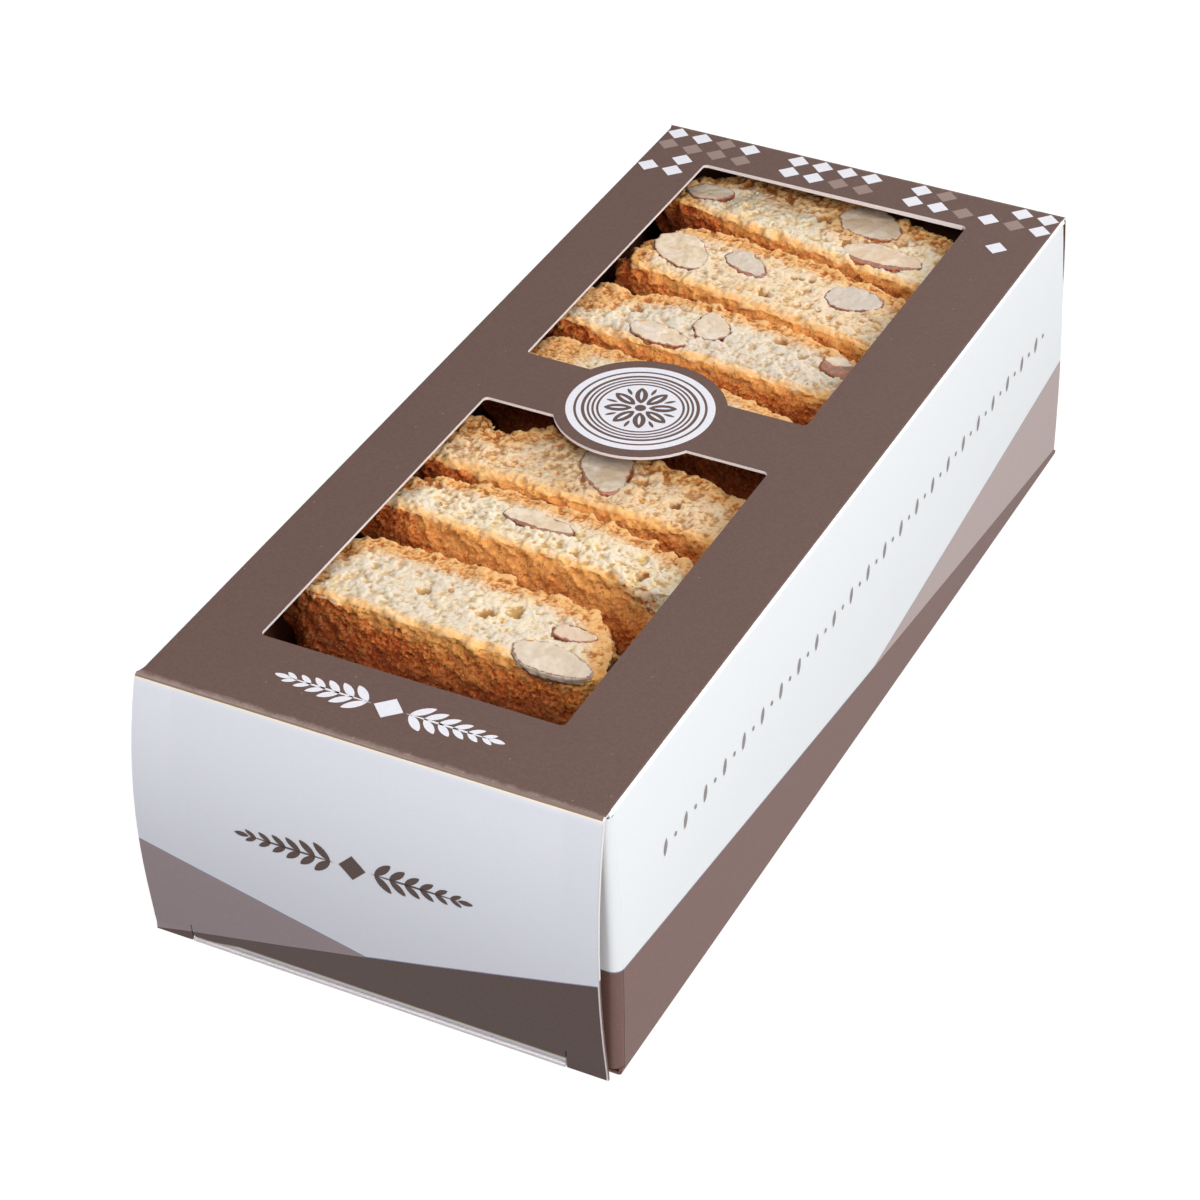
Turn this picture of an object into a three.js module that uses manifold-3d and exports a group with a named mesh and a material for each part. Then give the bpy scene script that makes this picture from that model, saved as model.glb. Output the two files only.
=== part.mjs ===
// A folding carton of sliced almond biscotti. The carton lies flat on its base, with two die-cut
// windows and a round badge tab in its top panel. The slices lie in layers with a cut face up.
// Millimetres. +X across the carton, +Y along it, +Z up. Origin at the middle of the base.
import * as THREE from 'three';
import { mergeVertices } from 'three/addons/utils/BufferGeometryUtils.js';
import Module from 'manifold-3d';

const wasm = await Module();
wasm.setup();

// Carton
const topWidth = 90;
const topLength = 216.3;
const height = 57.8;
const board = 0.6;
const sideFlare = 2.2; // how much further out each side wall stands at the base
const sideBow = 0.7; // and how far it bows out at half height
const sideBands = 8; // flat bands that make up the bow
const foldRadius = 0.8;
const endBulge = [3.8, 2.2]; // how far the closing panels swell, at their -X and +X edges
const endDrift = 0.5; // how far their foot stands out past their top fold
const endLeft = -45.2; // side edges of the closing panels
const endRight = 44.7;
const endFlare = 1; // how much further out the +X edge stands at its foot
const shoulderInner = 37.5; // from here out, a closing panel runs down to the base
const shoulderSlit = 0.25;
const tuckReach = 18;
const tuckRise = 4; // the slits beside the tuck flap start at this height
const tuckLevel = 1.4 * board; // the tuck flap lies at this height, on the base
const baseLip = 4; // the base runs on under the tuck flap, from inside the sleeve
const lipReach = 0.75; // and comes out this far past the top's end
const flapInner = 14; // the dust flaps stop this far from the middle
const flapSetback = 0.85; // from a closing panel's top fold in to the dust flaps
const flapFold = 1.7; // radius of the upright fold between a side wall and its dust flap
const flapFoot = 1.6; // dust flaps stop short of the base and the top
const flapHead = 1.2;
const flapSlit = 0.25; // die-cut slit over and under a dust flap's fold
const jointOverlap = 0.8;
const pressedBoard = 0.86 * board; // folded stretches are pressed a little thinner

// Windows and badge tab in the top panel
const windowLeft = -31.4;
const windowRight = 27.9;
const nearWindow = [-89.2, -4.7];
const farWindow = [12.6, 95];
const windowCorner = 1;
const badgeX = -2.9;
const badgeY = 4.5;
const badgeRadius = 16.7;

// Layers of slices
const seatGap = 0.3; // between pieces that lie on each other
const lowerThickness = 16.8;
const lowerFloor = 1.4;
const lowerPerLayer = 8;
const lowerPitch = 26;
const topThickness = 16.3;
const topFloor = lowerFloor + 2 * (lowerThickness + seatGap);
const lowerPoints = 16; // points round a slice's outline
const topPoints = 44;

// Almonds
const almondGap = 0.3;
const almondProud = 0.35;
const almondTaper = 0.22; // how much narrower its pointed half is
const almondDepthShare = 0.46; // depth below the cut face, as a share of its width

// Top slices, near end first. x and y place the middle of the straight base crust, depth runs
// from there to the crown, yaw turns the slice and lean tips its cut face, in degrees.
const topSlices = [
  { x: -7.5, y: -69.2, length: 65, depth: 21.4, yaw: -2, lean: 1.5, roll: 0.6,
    crest: -4, sag: 2.5, ends: [8, 12],
    almonds: [
      { u: 21.8, v: 11.2, length: 8.5, width: 3.9, turn: 4 },
      { u: 21.9, v: 2.9, length: 16.5, width: 7.4, turn: -5 },
    ] },
  { x: -4, y: -40.2, length: 73, depth: 16.8, yaw: -4, lean: -1.5, roll: -0.5,
    crest: -2, sag: 7, ends: [7, 8],
    almonds: [{ u: -3.2, v: 9.3, length: 15.5, width: 5.2, turn: -3 }] },
  { x: -4, y: -22.1, length: 72, depth: 20.3, yaw: -1, lean: 1, roll: 0.7,
    crest: -6, sag: 4.5, ends: [8, 9],
    cleft: { u: -23.5, width: 2.4, depth: 9 },
    almonds: [{ u: 1, v: 12.2, length: 16.5, width: 9.6, turn: -62 }] },
  { x: -5, y: 7.5, length: 70, depth: 20.8, yaw: -5, lean: -1, roll: -0.6,
    crest: -12, sag: 4, ends: [7, 9],
    almonds: [] },
  { x: -5, y: 32.5, length: 70, depth: 20.2, yaw: -2.9, lean: 1.2, roll: 0.5,
    crest: -2, sag: 5.5, ends: [7, 8],
    cleft: { u: -20.5, width: 4, depth: 2.6 },
    almonds: [
      { u: -9.9, v: 4.8, length: 13.5, width: 6.2, turn: -6 },
      { u: -2, v: 12, length: 10, width: 7, turn: 118 },
      { u: 27, v: 10.8, length: 9, width: 5.6, turn: -30 },
    ] },
  { x: -1, y: 54.3, length: 67, depth: 23.6, yaw: -8, lean: -1.2, roll: 0.6,
    crest: -4, sag: 4, ends: [6, 10],
    almonds: [
      { u: -24.6, v: 10.6, length: 15.5, width: 10, turn: -36 },
      { u: -11, v: 13.8, length: 12, width: 6.4, turn: -28 },
      { u: 14.2, v: 14.6, length: 12, width: 9, turn: 12 },
    ] },
  { x: -4, y: 81.2, length: 74, depth: 22.6, yaw: -11.5, lean: 1.4, roll: -0.5,
    crest: 6, sag: 6, ends: [15, 10],
    almonds: [
      { u: 8, v: 16, length: 15, width: 10.6, turn: -12 },
      { u: 17, v: 6.6, length: 17.5, width: 8, turn: 9 },
      { u: -27, v: 7.4, length: 10, width: 6, turn: 20 },
    ] },
];

const cartonMaterial = new THREE.MeshStandardMaterial({ color: 0x6b5b57, roughness: 0.75, metalness: 0 });
const biscuitMaterial = new THREE.MeshStandardMaterial({ color: 0xd9b682, roughness: 0.95, metalness: 0 });
const almondMaterial = new THREE.MeshStandardMaterial({ color: 0xe4dccb, roughness: 0.6, metalness: 0 });

function toSolid(geometry) {
  const bare = geometry.clone();
  bare.deleteAttribute('normal');
  bare.deleteAttribute('uv');
  const merged = mergeVertices(bare, 1e-4);
  const solid = new wasm.Mesh({
    numProp: 3,
    vertProperties: merged.attributes.position.array,
    triVerts: new Uint32Array(merged.index.array),
  });
  return new wasm.Manifold(solid);
}

function toGeometry(solid) {
  const { vertProperties, triVerts } = solid.getMesh();
  const geometry = new THREE.BufferGeometry();
  geometry.setAttribute('position', new THREE.BufferAttribute(vertProperties, 3));
  geometry.setIndex(new THREE.BufferAttribute(triVerts, 1));
  geometry.computeVertexNormals();
  return geometry;
}

function seededRandom(seed) {
  let state = seed * 2654435761 >>> 0;
  return () => {
    state = (state + 0x6d2b79f5) >>> 0;
    let t = state;
    t = Math.imul(t ^ (t >>> 15), t | 1);
    t ^= t + Math.imul(t ^ (t >>> 7), t | 61);
    return ((t ^ (t >>> 14)) >>> 0) / 4294967296;
  };
}

// ---- carton ----

// A strip of board seen edge on: its middle line, thickened to both sides.
function boardSection(line, thickness) {
  const left = [];
  const right = [];
  line.forEach((point, i) => {
    const before = line[Math.max(i - 1, 0)];
    const after = line[Math.min(i + 1, line.length - 1)];
    const along = after.clone().sub(before).normalize();
    const across = new THREE.Vector2(-along.y, along.x).multiplyScalar(thickness / 2);
    left.push(point.clone().add(across));
    right.unshift(point.clone().sub(across));
  });
  return new THREE.Shape([...left, ...right]);
}

function arcPoints(cx, cy, radius, from, to, steps) {
  return Array.from({ length: steps + 1 }, (_, i) => {
    const angle = THREE.MathUtils.degToRad(from + (to - from) * i / steps);
    return new THREE.Vector2(cx + radius * Math.cos(angle), cy + radius * Math.sin(angle));
  });
}

function sideOffset(z) {
  const rise = THREE.MathUtils.clamp(z / height, 0, 1);
  return sideFlare * (1 - rise) + sideBow * Math.sin(Math.PI * rise);
}

// Top, base and side walls as one tube along Y, with rounded folds.
function sleeve() {
  const levels = Array.from({ length: sideBands - 1 }, (_, i) => height * (i + 1) / sideBands);
  const ring = (inset) => {
    const radius = foldRadius - inset;
    const right = [
      ...arcPoints(topWidth / 2 + sideOffset(0) - foldRadius, foldRadius, radius, -90, 0, 3),
      ...levels.map((z) => new THREE.Vector2(topWidth / 2 + sideOffset(z) - inset, z)),
      ...arcPoints(topWidth / 2 - foldRadius, height - foldRadius, radius, 0, 90, 3),
    ];
    const left = right.map((p) => new THREE.Vector2(-p.x, p.y)).reverse();
    return [...right, ...left];
  };
  const shape = new THREE.Shape(ring(0));
  shape.holes.push(new THREE.Path(ring(board)));
  const length = topLength - 2 * (foldRadius + flapSetback);
  const geometry = new THREE.ExtrudeGeometry(shape, { depth: length, bevelEnabled: false });
  geometry.rotateX(Math.PI / 2);
  return toSolid(geometry.translate(0, length / 2, 0));
}

// How far a closing panel swells at height z, at a place across it.
function endSwell(x, z) {
  const across = (x - endLeft) / (endRight - endLeft);
  const fall = THREE.MathUtils.clamp(1 - z / height, 0, 1);
  return THREE.MathUtils.lerp(endBulge[0], endBulge[1], across) * Math.sin(Math.PI * fall ** 0.85);
}

// Middle line of a closing panel before it swells, (y, z), from height zTop down to zFoot.
function closingLine(zTop, zFoot, steps) {
  const outer = topLength / 2 - board / 2;
  return Array.from({ length: steps + 1 }, (_, i) => {
    const z = zTop + (zFoot - zTop) * i / steps;
    return new THREE.Vector2(-outer - endDrift * (1 - z / height), z);
  });
}

// A folded sheet: columns across it, rows along it, and only the cells that keep allows.
// place gives the point for a column, a row and a side of the board (-1 or 1).
function foldedSheet(columns, rows, keep, place) {
  const vertices = [];
  const triangles = [];
  const found = new Map();
  const at = (i, j, side) => {
    const key = `${i} ${j} ${side}`;
    if (!found.has(key)) {
      found.set(key, vertices.length / 3);
      vertices.push(...place(columns[i], j, side).toArray());
    }
    return found.get(key);
  };
  const quad = (a, b, c, d) => triangles.push(a, b, c, a, c, d);
  const inside = (i, j) => i >= 0 && j >= 0 && i + 1 < columns.length && j + 1 < rows;
  const kept = (i, j) => inside(i, j) && keep(columns[i], columns[i + 1], j);
  for (let i = 0; i + 1 < columns.length; i += 1) {
    for (let j = 0; j + 1 < rows; j += 1) {
      if (!kept(i, j)) continue;
      const out = [at(i, j, 1), at(i, j + 1, 1), at(i + 1, j + 1, 1), at(i + 1, j, 1)];
      const back = [at(i, j, -1), at(i, j + 1, -1), at(i + 1, j + 1, -1), at(i + 1, j, -1)];
      quad(...out);
      quad(back[0], back[3], back[2], back[1]);
      if (!kept(i - 1, j)) quad(out[0], back[0], back[1], out[1]);
      if (!kept(i + 1, j)) quad(out[3], out[2], back[2], back[3]);
      if (!kept(i, j - 1)) quad(out[0], out[3], back[3], back[0]);
      if (!kept(i, j + 1)) quad(out[1], back[1], back[2], out[2]);
    }
  }
  const geometry = new THREE.BufferGeometry();
  geometry.setAttribute('position', new THREE.Float32BufferAttribute(vertices, 3));
  geometry.setIndex(triangles);
  return geometry;
}

// The near closing panel: top fold, swollen face, tuck flap and the two shoulders beside it.
function closingPanel() {
  const mid = height - board / 2;
  const outer = topLength / 2 - board / 2;
  const face = [
    new THREE.Vector2(-outer + foldRadius + flapSetback + jointOverlap, mid),
    ...arcPoints(-outer + foldRadius, mid - foldRadius, foldRadius, 90, 180, 4),
    ...closingLine(mid - 2 * foldRadius, tuckRise, 12),
  ];
  const foot = closingLine(tuckRise - 1, tuckLevel + foldRadius, 1);
  const turn = foot[1];
  const tuck = [
    ...foot,
    ...arcPoints(turn.x + foldRadius, tuckLevel + foldRadius, foldRadius, 200, 270, 3),
    new THREE.Vector2(turn.x + tuckReach, tuckLevel),
  ];
  const tuckLine = [...face, ...tuck];
  const shoulderLine = [...face, ...closingLine(tuckRise - 1, 0.1 * board, 2)];
  const outerEdge = shoulderInner + shoulderSlit;
  const columns = [endLeft, -outerEdge, -shoulderInner, shoulderInner, outerEdge, endRight];
  const keep = (x0, x1, row) => {
    const middle = Math.abs(x0 + x1) / 2;
    if (row < face.length - 1) return true;
    if (middle < shoulderInner) return true;
    return middle > outerEdge && row + 1 < shoulderLine.length;
  };
  const place = (x, row, side) => {
    const line = Math.abs(x) < outerEdge ? tuckLine : shoulderLine;
    const before = line[Math.max(row - 1, 0)];
    const after = line[Math.min(row + 1, line.length - 1)];
    const along = after.clone().sub(before).setLength(side * pressedBoard / 2);
    const spot = line[row].clone().add(new THREE.Vector2(along.y, -along.x));
    const swellRow = Math.min(row, face.length + 1); // a tuck flap keeps the swell of its fold
    const flare = x > outerEdge ? endFlare * THREE.MathUtils.clamp(1 - spot.y / height, 0, 1) ** 4 : 0;
    return new THREE.Vector3(x + flare, spot.x - endSwell(x, line[swellRow].y), spot.y);
  };
  const panel = toSolid(foldedSheet(columns, tuckLine.length, keep, place));
  const lip = new THREE.BoxGeometry(2 * shoulderInner, baseLip, pressedBoard);
  return panel.add(toSolid(lip.translate(0, (baseLip - topLength) / 2 - lipReach, board / 2)));
}

const flapLine = -(topLength / 2 - flapSetback - board / 2); // middle of a near dust flap's board

// The near dust flap on the +X side, with the rounded fold that joins it to the side wall.
function dustFlap() {
  const wallX = topWidth / 2 - board / 2;
  const line = [
    new THREE.Vector2(flapInner, flapLine),
    ...arcPoints(wallX - flapFold, flapLine + flapFold, flapFold, -90, 0, 5),
    new THREE.Vector2(wallX, flapLine + flapFold + jointOverlap),
  ];
  const depth = height - flapFoot - flapHead;
  const section = boardSection(line, pressedBoard);
  const geometry = new THREE.ExtrudeGeometry(section, { depth, steps: sideBands, bevelEnabled: false });
  geometry.translate(0, 0, flapFoot);
  const position = geometry.attributes.position;
  for (let i = 0; i < position.count; i += 1) {
    const spread = 1 + sideOffset(position.getZ(i)) / (topWidth / 2);
    position.setX(i, position.getX(i) * spread);
  }
  return toSolid(geometry);
}

// What is cut off the sleeve's side walls at both ends, where the dust flaps' folds take over.
function foldNotches() {
  const wallEnd = flapLine + flapFold - 0.1;
  const depth = topLength / 2 + wallEnd;
  const tall = height - flapFoot - flapHead + 2 * flapSlit;
  const notch = new THREE.BoxGeometry(topWidth + 20, depth, tall);
  const middle = (flapFoot - flapSlit) + tall / 2;
  const inner = new THREE.BoxGeometry(topWidth - 8, 2 * depth, tall);
  const near = toSolid(notch.translate(0, wallEnd - depth / 2, middle));
  const kept = toSolid(inner.translate(0, wallEnd - depth / 2, middle));
  const cut = near.subtract(kept);
  return cut.add(cut.mirror([0, 1, 0]));
}

function roundedWindow([y0, y1]) {
  const r = windowCorner;
  const shape = new THREE.Shape();
  shape.moveTo(windowLeft + r, y0);
  shape.lineTo(windowRight - r, y0);
  shape.absarc(windowRight - r, y0 + r, r, -Math.PI / 2, 0, false);
  shape.lineTo(windowRight, y1 - r);
  shape.absarc(windowRight - r, y1 - r, r, 0, Math.PI / 2, false);
  shape.lineTo(windowLeft + r, y1);
  shape.absarc(windowLeft + r, y1 - r, r, Math.PI / 2, Math.PI, false);
  shape.lineTo(windowLeft, y0 + r);
  shape.absarc(windowLeft + r, y0 + r, r, Math.PI, 1.5 * Math.PI, false);
  const depth = 4 * board;
  const geometry = new THREE.ExtrudeGeometry(shape, { depth, bevelEnabled: false, curveSegments: 3 });
  return toSolid(geometry.translate(0, 0, height - depth / 2));
}

function badgeDisc(thickness) {
  const disc = new THREE.CylinderGeometry(badgeRadius, badgeRadius, thickness, 56);
  disc.rotateX(Math.PI / 2);
  return toSolid(disc.translate(badgeX, badgeY, height));
}

function cartonGeometry() {
  const near = closingPanel();
  const flap = dustFlap();
  const ends = [near, near.mirror([0, 1, 0])];
  const nearFlaps = [flap, flap.mirror([1, 0, 0])];
  const flaps = [...nearFlaps, ...nearFlaps.map((one) => one.mirror([0, 1, 0]))];
  const disc = badgeDisc(8 * board);
  const openings = [nearWindow, farWindow].map((span) => roundedWindow(span).subtract(disc));
  const tube = sleeve().subtract(foldNotches());
  const body = [...ends, ...flaps].reduce((all, one) => all.add(one), tube);
  return toGeometry(openings.reduce((all, one) => all.subtract(one), body));
}

// ---- slices ----

// A crack that runs down into the crown at one place along a slice.
function cleftDepth(cleft, u) {
  return cleft ? cleft.depth * Math.exp(-(((u - cleft.u) / cleft.width) ** 2)) : 0;
}

// Outline of a slice, (u, v), anticlockwise. The base crust runs along v = 0 and the crown
// arches over it, lower towards both ends and rounded off there. Points crowd at the ends.
function sliceOutline(slice, count) {
  const half = slice.length / 2;
  const [leftRound, rightRound] = slice.ends;
  const endRound = (u, left, right) => {
    const fromLeft = Math.min((u + half) / left, 1);
    const fromRight = Math.min((half - u) / right, 1);
    return Math.sqrt((1 - (1 - fromLeft) ** 2) * (1 - (1 - fromRight) ** 2));
  };
  const crown = (u) => {
    const crest = slice.depth - slice.sag * ((u - slice.crest) / half) ** 2;
    return crest * endRound(u, leftRound, rightRound) - cleftDepth(slice.cleft, u);
  };
  const heel = (u) => slice.depth * 0.22 * (1 - endRound(u, 0.5 * leftRound, 0.5 * rightRound));
  const perSide = count / 2;
  const stations = Array.from({ length: perSide }, (_, i) => (
    -half * Math.cos(Math.PI * (i + 0.5) / perSide)));
  const base = stations.map((u) => new THREE.Vector2(u, heel(u)));
  const arch = stations.map((u) => new THREE.Vector2(u, Math.max(crown(u), heel(u) + 0.8)));
  return [...base, ...arch.reverse()];
}

// Rings of a slice from the cut face down to the underside: [share of the outline, share of
// the thickness, roughness in mm of the outline and of the level].
const fineRings = [
  [0.42, 0, 0.3, 0.3], [0.78, 0, 0.5, 0.35], [0.965, 0.01, 0.15, 0.15], [1, 0.07, 0.35, 0.2],
  [0.995, 0.36, 0.55, 0.3], [1, 0.7, 0.5, 0.3], [0.985, 0.95, 0.3, 0.1], [0.94, 1, 0.2, 0],
];
const plainRings = [[0.96, 0, 0.3, 0], [1, 0.1, 0.4, 0.1], [1, 0.88, 0.4, 0.1], [0.95, 1, 0.3, 0]];

function sliceGeometry(slice, thickness, rings, count, seed) {
  const random = seededRandom(seed);
  const outline = sliceOutline(slice, count);
  const centre = new THREE.Vector2(0, slice.depth * 0.45);
  const vertices = [centre.x, centre.y, 0];
  rings.forEach(([share, level, ruffle, lift]) => {
    const shrink = new THREE.Vector2((1 + share) / 2, share);
    outline.forEach((point) => {
      const away = point.clone().sub(centre);
      const reach = Math.min(1 + ruffle * (random() - 0.6) / away.length(), 1.02);
      const spot = away.multiply(shrink).multiplyScalar(reach).add(centre);
      vertices.push(spot.x, spot.y, -level * thickness - lift * random());
    });
  });
  vertices.push(centre.x, centre.y, -thickness);
  const triangles = [];
  const at = (ring, i) => 1 + ring * count + (i % count);
  for (let i = 0; i < count; i += 1) {
    triangles.push(0, at(0, i), at(0, i + 1));
    for (let ring = 0; ring + 1 < rings.length; ring += 1) {
      triangles.push(at(ring, i), at(ring + 1, i), at(ring + 1, i + 1));
      triangles.push(at(ring, i), at(ring + 1, i + 1), at(ring, i + 1));
    }
    triangles.push(1 + rings.length * count, at(rings.length - 1, i + 1), at(rings.length - 1, i));
  }
  const geometry = new THREE.BufferGeometry();
  geometry.setAttribute('position', new THREE.Float32BufferAttribute(vertices, 3));
  geometry.setIndex(triangles);
  geometry.computeVertexNormals();
  return geometry;
}

// An almond sliced level with the cut face: blunt at one end, pointed at the other, and grown
// all round by extra. top is how far it stands above the cut face.
function almondGeometry(almond, extra, top) {
  const around = 16;
  const depth = almond.width * almondDepthShare + extra;
  const halfLength = almond.length / 2 + extra;
  const halfWidth = almond.width / 2 + extra;
  const levels = [top, -0.4, -0.8];
  const vertices = [0, 0, top];
  levels.forEach((level) => {
    const z = level > 0 ? level : level * depth;
    const share = level > 0 ? 1 : Math.sqrt(1 - level ** 2);
    for (let i = 0; i < around; i += 1) {
      const angle = 2 * Math.PI * i / around;
      const taper = 1 - almondTaper * Math.cos(angle);
      const across = halfWidth * taper * Math.sin(angle);
      vertices.push(share * halfLength * Math.cos(angle), share * across, z);
    }
  });
  vertices.push(0, 0, -depth);
  const triangles = [];
  const at = (ring, i) => 1 + ring * around + (i % around);
  for (let i = 0; i < around; i += 1) {
    triangles.push(0, at(0, i), at(0, i + 1));
    for (let ring = 0; ring + 1 < levels.length; ring += 1) {
      triangles.push(at(ring, i), at(ring + 1, i), at(ring + 1, i + 1));
      triangles.push(at(ring, i), at(ring + 1, i + 1), at(ring, i + 1));
    }
    triangles.push(1 + levels.length * around, at(levels.length - 1, i + 1), at(levels.length - 1, i));
  }
  const geometry = new THREE.BufferGeometry();
  geometry.setAttribute('position', new THREE.Float32BufferAttribute(vertices, 3));
  geometry.setIndex(triangles);
  geometry.rotateZ(THREE.MathUtils.degToRad(almond.turn));
  geometry.translate(almond.u, almond.v, 0);
  geometry.computeVertexNormals();
  return geometry;
}

function namedMesh(name, geometry, material) {
  const mesh = new THREE.Mesh(geometry, material);
  mesh.name = name;
  return mesh;
}

// One top slice with its almonds, tipped so that its lowest corner still clears the layer below.
function topSliceGroup(slice, number) {
  const group = new THREE.Group();
  const lean = THREE.MathUtils.degToRad(slice.lean);
  const roll = THREE.MathUtils.degToRad(slice.roll);
  const whole = toSolid(sliceGeometry(slice, topThickness, fineRings, topPoints, number + 10));
  const pockets = slice.almonds.map((almond) => toSolid(almondGeometry(almond, almondGap, 3)));
  const cut = pockets.reduce((all, one) => all.subtract(one), whole);
  group.add(namedMesh(`biscotto_${number}`, toGeometry(cut), biscuitMaterial));
  slice.almonds.forEach((almond, i) => {
    const name = `almond_${number}_${i + 1}`;
    group.add(namedMesh(name, almondGeometry(almond, 0, almondProud), almondMaterial));
  });
  group.rotation.set(lean, roll, THREE.MathUtils.degToRad(slice.yaw), 'ZYX');
  const drop = Math.max(-slice.depth * Math.sin(lean), 0) + slice.length / 2 * Math.abs(Math.sin(roll));
  group.position.set(slice.x, slice.y, topFloor + topThickness + drop + seatGap);
  return group;
}

function lowerSliceMesh(layer, place) {
  const number = layer * lowerPerLayer + place;
  const random = seededRandom(number + 40);
  const slice = {
    length: 64 + 10 * random(),
    depth: 20.5 + 2.5 * random(),
    crest: 10 * (random() - 0.5),
    sag: 3 + 3 * random(),
    ends: [7 + 2 * random(), 7 + 2 * random()],
  };
  const geometry = sliceGeometry(slice, lowerThickness, plainRings, lowerPoints, number + 60);
  const mesh = namedMesh(`biscotto_low_${layer + 1}_${place + 1}`, geometry, biscuitMaterial);
  const middle = (lowerPerLayer - 1) / 2;
  mesh.position.set(
    6 * (random() - 0.5),
    (place - middle) * lowerPitch - slice.depth / 2,
    lowerFloor + (layer + 1) * lowerThickness + layer * seatGap);
  mesh.rotation.z = THREE.MathUtils.degToRad(3 * (random() - 0.5));
  return mesh;
}

const carton = new THREE.Group();
carton.add(namedMesh('carton', cartonGeometry(), cartonMaterial));
topSlices.forEach((slice, i) => carton.add(topSliceGroup(slice, i + 1)));
for (let layer = 0; layer < 2; layer += 1) {
  for (let place = 0; place < lowerPerLayer; place += 1) {
    carton.add(lowerSliceMesh(layer, place));
  }
}

export default carton;
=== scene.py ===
import math
import random

import bpy
import numpy as np
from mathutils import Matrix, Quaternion, Vector, noise
from mathutils.bvhtree import BVHTree
from mathutils.kdtree import KDTree


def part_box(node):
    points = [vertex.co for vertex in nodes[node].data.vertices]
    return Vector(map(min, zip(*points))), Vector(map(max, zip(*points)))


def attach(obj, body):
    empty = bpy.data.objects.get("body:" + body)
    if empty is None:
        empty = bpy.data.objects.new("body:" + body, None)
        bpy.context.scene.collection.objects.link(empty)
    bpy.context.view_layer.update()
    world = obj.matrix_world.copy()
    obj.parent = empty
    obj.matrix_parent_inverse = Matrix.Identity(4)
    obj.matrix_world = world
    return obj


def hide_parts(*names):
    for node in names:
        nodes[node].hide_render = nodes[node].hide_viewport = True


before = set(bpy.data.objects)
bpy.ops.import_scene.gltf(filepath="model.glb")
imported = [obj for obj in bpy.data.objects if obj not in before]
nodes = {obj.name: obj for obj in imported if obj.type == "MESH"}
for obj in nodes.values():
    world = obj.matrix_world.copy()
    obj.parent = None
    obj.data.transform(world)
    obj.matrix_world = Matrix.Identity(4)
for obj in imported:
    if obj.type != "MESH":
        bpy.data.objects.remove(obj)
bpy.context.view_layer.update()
mm = 0.001
scene = bpy.context.scene
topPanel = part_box("carton")[1].z  # the height of the carton's top
print("frame loaded:", len(nodes), "nodes")


# helpers for colours, pieces and their meshes

def tone(red, green, blue):  # a display colour, 0 to 255, as shader values
    def linear(value):
        value /= 255
        return value / 12.92 if value < 0.04045 else ((value + 0.055) / 1.055) ** 2.4
    return (linear(red), linear(green), linear(blue), 1)


def deselectAll():
    bpy.ops.object.select_all(action="DESELECT")


def pickUp(*pieces):
    deselectAll()
    for piece in pieces:
        piece.select_set(True)
    bpy.context.view_layer.objects.active = pieces[0]


def editAll(piece):
    pickUp(piece)
    bpy.ops.object.mode_set(mode="EDIT")
    bpy.ops.mesh.select_all(action="SELECT")


def leaveEdit():
    bpy.ops.object.mode_set(mode="OBJECT")


def settle(piece):  # the place goes into the mesh
    pickUp(piece)
    bpy.ops.object.transform_apply(location=True, rotation=True, scale=True)
    return piece


def applyModifier(piece, kind, **values):
    pickUp(piece)
    bpy.ops.object.modifier_add(type=kind)
    modifier = piece.modifiers[-1]
    for key, value in values.items():
        setattr(modifier, key, value)
    bpy.ops.object.modifier_apply(modifier=modifier.name)


def smooth(piece, angle):  # shaded smooth, but for edges sharper than the angle
    pickUp(piece)
    bpy.ops.object.shade_smooth_by_angle(angle=math.radians(angle))


def copyOfNode(name, pieceName):  # a copy of a CAD node with its loose triangles merged
    mesh = nodes[name].data.copy()
    mesh.materials.clear()
    piece = bpy.data.objects.new(pieceName, mesh)
    scene.collection.objects.link(piece)
    editAll(piece)
    bpy.ops.mesh.remove_doubles(threshold=0.002 * mm)
    leaveEdit()
    if mesh.has_custom_normals:
        bpy.ops.mesh.customdata_custom_splitnormals_clear()
    return piece


def voxelCopy(name, pieceName, size):  # the same with an even mesh
    piece = copyOfNode(name, pieceName)
    applyModifier(piece, "REMESH", mode="VOXEL", voxel_size=size, use_smooth_shade=True)
    return piece


def nodesFrom(start):
    return sorted(name for name in nodes if name.startswith(start))


def joinPieces(pieces, name):
    pickUp(*pieces)
    if len(pieces) > 1:
        bpy.ops.object.join()
    pieces[0].name = name
    return pieces[0]


def finishPiece(piece, slotName, *standsFor):
    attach(piece, "root")
    if standsFor:
        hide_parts(*standsFor)


def finishBaked(piece, slotName, material, *standsFor, angle=180):
    piece.data.materials.append(material)
    smooth(piece, angle)
    finishPiece(piece, slotName, *standsFor)


def vectorsOf(items, key):  # one row an item
    values = np.empty(len(items) * 3, np.float32)
    items.foreach_get(key, values)
    return values.reshape(-1, 3).astype(float)


def points(piece):
    return vectorsOf(piece.data.vertices, "co")


def normals(piece):
    return vectorsOf(piece.data.vertex_normals, "vector")


def writeAttribute(piece, name, values):
    attribute = piece.data.attributes.new(name, "FLOAT", "POINT")
    attribute.data.foreach_set("value", np.asarray(values, np.float32))


def writeGroup(piece, name, values):  # a vertex group, in a few levels of weight
    levels = 20
    group = piece.vertex_groups.new(name=name)
    steps = np.round(np.clip(values, 0, 1) * levels).astype(int)
    for step in range(1, levels + 1):
        members = np.nonzero(steps == step)[0]
        if len(members):
            group.add(members.tolist(), step / levels, "REPLACE")


def fade(values, low, high):  # 0 below low, 1 above high, eased between
    t = np.clip((values - low) / (high - low), 0, 1)
    return t * t * (3 - 2 * t)


# helpers for materials

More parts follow.
